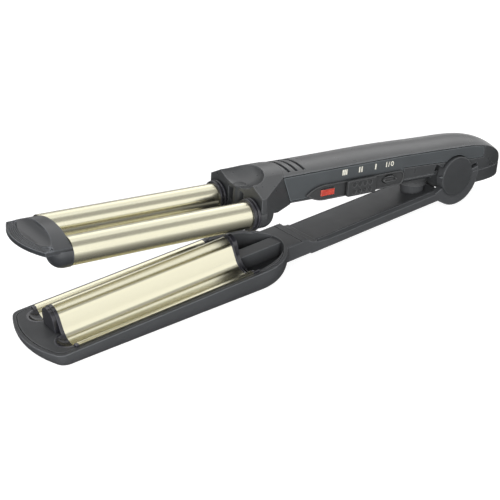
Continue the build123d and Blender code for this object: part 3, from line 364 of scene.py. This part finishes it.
for part in frame["record"]["subparts"]:
    name = part["node"]
    materials = frame["nodes"][name].data.materials
    materials.clear()
    materials.append(OWN_FINISHES.get(name, FINISHES[part["material_slot"]]))


# ---- printed marks, in millimetres of the drawing frame ------------------------
PANEL_FACE = -14.5
INK_FRONT = PANEL_FACE - 0.06
INK_BACK = PANEL_FACE + 0.02
MARK_Z = 16.6
MARK_HEIGHT = 3.5
BAR_WIDTH = 0.95
ON_OFF_HEIGHT = 3.3
RING_STEPS = 24


def ring_of_faces(mesh, one, two):
    """Faces between two closed loops of vertices."""
    count = len(one)
    for i in range(count):
        j = (i + 1) % count
        mesh.faces.new((one[i], one[j], two[j], two[i]))


def bar(mesh, x, width, height, slope=0.0):
    """Adds an upright bar round x; slope shifts its top towards +x."""
    w, h = width / 2, height / 2
    corners = ((-w - slope, -h), (w - slope, -h), (w + slope, h), (-w + slope, h))
    back, front = ([mesh.verts.new(on_upper(x + dx, y, MARK_Z + dz)) for dx, dz in corners]
                   for y in (INK_BACK, INK_FRONT))
    mesh.faces.new(front)
    mesh.faces.new(back[::-1])
    ring_of_faces(mesh, back, front)


def oval(mesh, x, half_width, half_height, stroke):
    """Adds an oval ring round x."""
    loops = []
    for y in (INK_BACK, INK_FRONT):
        for inset in (0, stroke):
            loop = []
            for i in range(RING_STEPS):
                a = 2 * math.pi * i / RING_STEPS
                px = x + (half_width - inset) * math.cos(a)
                pz = MARK_Z + (half_height - inset) * math.sin(a)
                loop.append(mesh.verts.new(on_upper(px, y, pz)))
            loops.append(loop)
    back_out, back_in, front_out, front_in = loops
    ring_of_faces(mesh, front_out, front_in)
    ring_of_faces(mesh, back_in, back_out)
    ring_of_faces(mesh, back_out, front_out)
    ring_of_faces(mesh, front_in, back_in)


def finish_piece(name, mesh, material, body):
    """Turns a bmesh into a piece that rides on a body."""
    bmesh.ops.recalc_face_normals(mesh, faces=mesh.faces)
    data = bpy.data.meshes.new(name)
    mesh.to_mesh(data)
    mesh.free()
    piece = bpy.data.objects.new(name, data)
    bpy.context.scene.collection.objects.link(piece)
    data.materials.append(material)
    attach(piece, body)
    return piece


def mark(name, middle, bars, pitch):
    """Roman numeral of some bars round a middle."""
    mesh = bmesh.new()
    for i in range(bars):
        bar(mesh, middle + (i - (bars - 1) / 2) * pitch, BAR_WIDTH, MARK_HEIGHT)
    finish_piece(name, mesh, INK, "upper_arm")


mark("mark_three", middle=-96.5, bars=3, pitch=1.45)
mark("mark_two", middle=-83.8, bars=2, pitch=1.9)
mark("mark_one", middle=-71.6, bars=1, pitch=0)
on_off = bmesh.new()
bar(on_off, -62.6, width=0.75, height=ON_OFF_HEIGHT)
bar(on_off, -60.5, width=0.5, height=ON_OFF_HEIGHT, slope=0.45)
oval(on_off, -57.8, half_width=1.25, half_height=1.6, stroke=0.6)
finish_piece("mark_on_off", on_off, INK, "upper_arm")


# ---- opening spring, a fixed coil; the real one shortens as the jaw closes -----
# Its wire in millimetres; its height is that of the plain spring's box.
SPRING_WIRE = 1.2
SPRING_TURNS = 6
TURN_STEPS = 40
WIRE_STEPS = 10


def coil_rise(turn, height):
    """Height of the wire's middle after some turns: closed end turns, even pitch between."""
    free = SPRING_TURNS - 2
    pitch = (height - 2 * SPRING_WIRE) / free
    closed = min(turn, 1) + max(turn - 1 - free, 0)
    return SPRING_WIRE * closed + pitch * min(max(turn - 1, 0), free)


def coil_spring(low, high):
    """Mesh coil that fills the box of the plain one, its wire ends capped."""
    middle = (low + high) / 2
    radius = (high.x - low.x) / 2 * 1000 - SPRING_WIRE / 2
    height = (high.z - low.z) * 1000 - SPRING_WIRE
    mesh = bmesh.new()
    rings = []
    for i in range(SPRING_TURNS * TURN_STEPS + 1):
        turn = i / TURN_STEPS
        a = 2 * math.pi * turn
        out = Vector((math.cos(a), math.sin(a), 0))
        centre = out * radius + Vector((0, 0, SPRING_WIRE / 2 + coil_rise(turn, height)))
        ring = []
        for j in range(WIRE_STEPS):
            b = 2 * math.pi * j / WIRE_STEPS
            around = out * math.cos(b) + Vector((0, 0, math.sin(b)))
            place = (centre + around * SPRING_WIRE / 2) / 1000
            ring.append(mesh.verts.new((middle.x + place.x, middle.y + place.y, low.z + place.z)))
        rings.append(ring)
    for one, two in zip(rings, rings[1:]):
        ring_of_faces(mesh, one, two)
    mesh.faces.new(rings[0][::-1])
    mesh.faces.new(rings[-1])
    return mesh


spring_low, spring_high = (Vector(corner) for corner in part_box("opening_spring"))
spring = finish_piece("return_spring_coil", coil_spring(spring_low, spring_high),
                      FINISHES["spring_steel"], "lower_arm")
for face in spring.data.polygons:
    face.use_smooth = True
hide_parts("opening_spring")
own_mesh(spring)


# ---- floor and world -----------------------------------------------------------
# The floor's own glow and grey under direct rays, and its grey for the light it throws back.
FLOOR_GLOW = 0.86
FLOOR_GREY = 0.42
FLOOR_BOUNCE = 0.55
# Light that the world throws on the object: from the front left, and from behind.
SKY_FRONT = (-0.4, -0.8, 0.45)
SKY_FRONT_LEVEL = 0.35
SKY_BACK_LEVEL = 0.1
SKY_EDGE = -0.2
# Strength of the world in reflections of reflections.
SECOND_REFLECTION = 0.3


def plane(name, corner, side_one, side_two, material):
    """Staging sheet between a corner and its two sides."""
    c, u, v = Vector(corner), Vector(side_one), Vector(side_two)
    data = bpy.data.meshes.new(name)
    data.from_pydata([c, c + u, c + u + v, c + v], [], [(0, 1, 2, 3)])
    data.materials.append(material)
    sheet = bpy.data.objects.new(name, data)
    bpy.context.scene.collection.objects.link(sheet)
    return sheet


def floor_material():
    """Pale floor that renders white in the light and keeps the shadow."""
    material = bpy.data.materials.new("floor")
    tree = Tree(material)
    tree.nodes.clear()
    shown = tree.add("AddShader", {0: tree.emission(FLOOR_GLOW), 1: tree.diffuse(FLOOR_GREY)})
    pick = {0: tree.seen_directly(), 1: tree.diffuse(FLOOR_BOUNCE), 2: shown.outputs[0]}
    tree.add("OutputMaterial", {"Surface": tree.add("MixShader", pick).outputs[0]})
    return material


def make_world():
    """White to the camera and in first reflections, grey in reflections of reflections."""
    world = bpy.data.worlds.new("studio")
    bpy.context.scene.world = world
    tree = Tree(world)
    direction = tree.add("TexCoord").outputs["Generated"]
    facing = tree.vector("DOT_PRODUCT", direction, Vector(SKY_FRONT).normalized())["Value"]
    sky = tree.ramp(facing, SKY_BACK_LEVEL, SKY_FRONT_LEVEL, SKY_EDGE, 1, "SMOOTHSTEP")
    level = tree.ramp(tree.seen_directly(), sky, 1, 0, 1)
    depth = tree.add("LightPath").outputs["Glossy Depth"]
    deeper = tree.ramp(depth, 1, SECOND_REFLECTION, 1, 2)
    background = tree.nodes["Background"]
    tree.feed(background.inputs["Color"], (1, 1, 1, 1))
    tree.feed(background.inputs["Strength"], tree.math("MULTIPLY", level, deeper))


plane("floor", (-4, -4, 0), (8, 0, 0), (0, 8, 0), floor_material())
make_world()


# ---- lamps, and grey cards for the metal to mirror -----------------------------
def softbox(name, place, target, width, height, watts, mirrored=False):
    """Soft rectangular lamp; only a mirrored one shows in reflections."""
    light = bpy.data.lights.new(name, "AREA")
    light.shape = "RECTANGLE"
    light.size = width
    light.size_y = height
    light.energy = watts
    lamp = bpy.data.objects.new(name, light)
    bpy.context.scene.collection.objects.link(lamp)
    lamp.location = place
    lamp.visible_glossy = mirrored
    lamp.rotation_euler = (Vector(target) - Vector(place)).to_track_quat("-Z", "Y").to_euler()


def card_material(name, axis, tones, span):
    """Glowing grey that goes from one tone to another over a span of an axis."""
    material = bpy.data.materials.new(name)
    tree = Tree(material)
    tree.nodes.clear()
    coords = tree.add("TexCoord").outputs["Object"]
    place = tree.add("SeparateXYZ", {0: coords}).outputs[axis]
    tree.add("OutputMaterial", {"Surface": tree.emission(tree.ramp(place, *tones, *span))})
    return material


def grey_card(name, corner, length, depth=0.0, height=0.0, tones=(1, 1), span=None):
    """Flat or upright card that only reflections see.

    Its tone changes from front to back, or upwards, over the whole card or over a span.
    """
    axis, side = (1, depth) if depth else (2, height)
    span = span or (corner[axis], corner[axis] + side)
    material = card_material(name, axis, tones, span)
    sheet = plane(name, corner, (length, 0, 0), (0, depth, height), material)
    sheet.visible_camera = False
    sheet.visible_diffuse = False
    sheet.visible_transmission = False
    sheet.visible_shadow = False


softbox("overhead", place=(0.4, 0.25, 1.1), target=(0, 0, 0.03), width=0.5, height=0.4, watts=5)
softbox("front_left", place=(-0.95, -1.15, 0.42), target=(-0.05, 0, 0.04),
        width=1.2, height=0.6, watts=31)
softbox("back_right", place=(1.3, 1.2, 0.8), target=(0, 0, 0.04),
        width=1.2, height=0.7, watts=1.4, mirrored=True)
grey_card("card_above", (-1.6, -1.45, 1.4), length=3.2, depth=1.3, tones=(0.42, 0.42))
grey_card("card_front", (-2.0, -1.3, 0.0), length=4.0, height=1.1, tones=(1.1, 1.15))
grey_card("card_back", (-2.0, 1.5, 0.0), length=4.5, height=0.88, tones=(0.45, 0.55))
grey_card("card_high", (-2.0, 1.5, 0.9), length=4.5, height=1.7, tones=(1.25, 1.25))
grey_card("card_below", (-1.2, -0.6, 0.0008), length=1.5, depth=1.2, tones=(0.95, 0.08),
          span=(-0.33, -0.03))


# ---- camera, fitted to the photograph ------------------------------------------
CAMERA_PLACE = HINGE + Vector((-0.495755, -0.50383, 0.297835))
CAMERA_AZIMUTH = math.radians(-33.963)
CAMERA_ELEVATION = math.radians(26.849)
CAMERA_ROLL = math.radians(-2.839)
# Millimetres.
CAMERA_LENS = 80.92
CAMERA_SENSOR = 36
# Metres.
CAMERA_CLIP = 0.01


def camera_axes():
    """Right, up and back vectors of the camera, roll included."""
    a, e, r = CAMERA_AZIMUTH, CAMERA_ELEVATION, CAMERA_ROLL
    back = Vector((math.sin(a) * math.cos(e), -math.cos(a) * math.cos(e), math.sin(e)))
    right = (-back).cross(Vector((0, 0, 1))).normalized()
    up = right.cross(-back)
    return right * math.cos(r) + up * math.sin(r), up * math.cos(r) - right * math.sin(r), back


camera_data = bpy.data.cameras.new("camera")
camera_data.sensor_fit = "HORIZONTAL"
camera_data.sensor_width = CAMERA_SENSOR
camera_data.lens = CAMERA_LENS
camera_data.clip_start = CAMERA_CLIP
camera = bpy.data.objects.new("camera", camera_data)
bpy.context.scene.collection.objects.link(camera)
turn = Matrix(camera_axes()).transposed().to_4x4()
camera.matrix_world = Matrix.Translation(CAMERA_PLACE) @ turn
bpy.context.scene.camera = camera

bpy.context.scene.view_settings.view_transform = "Standard"
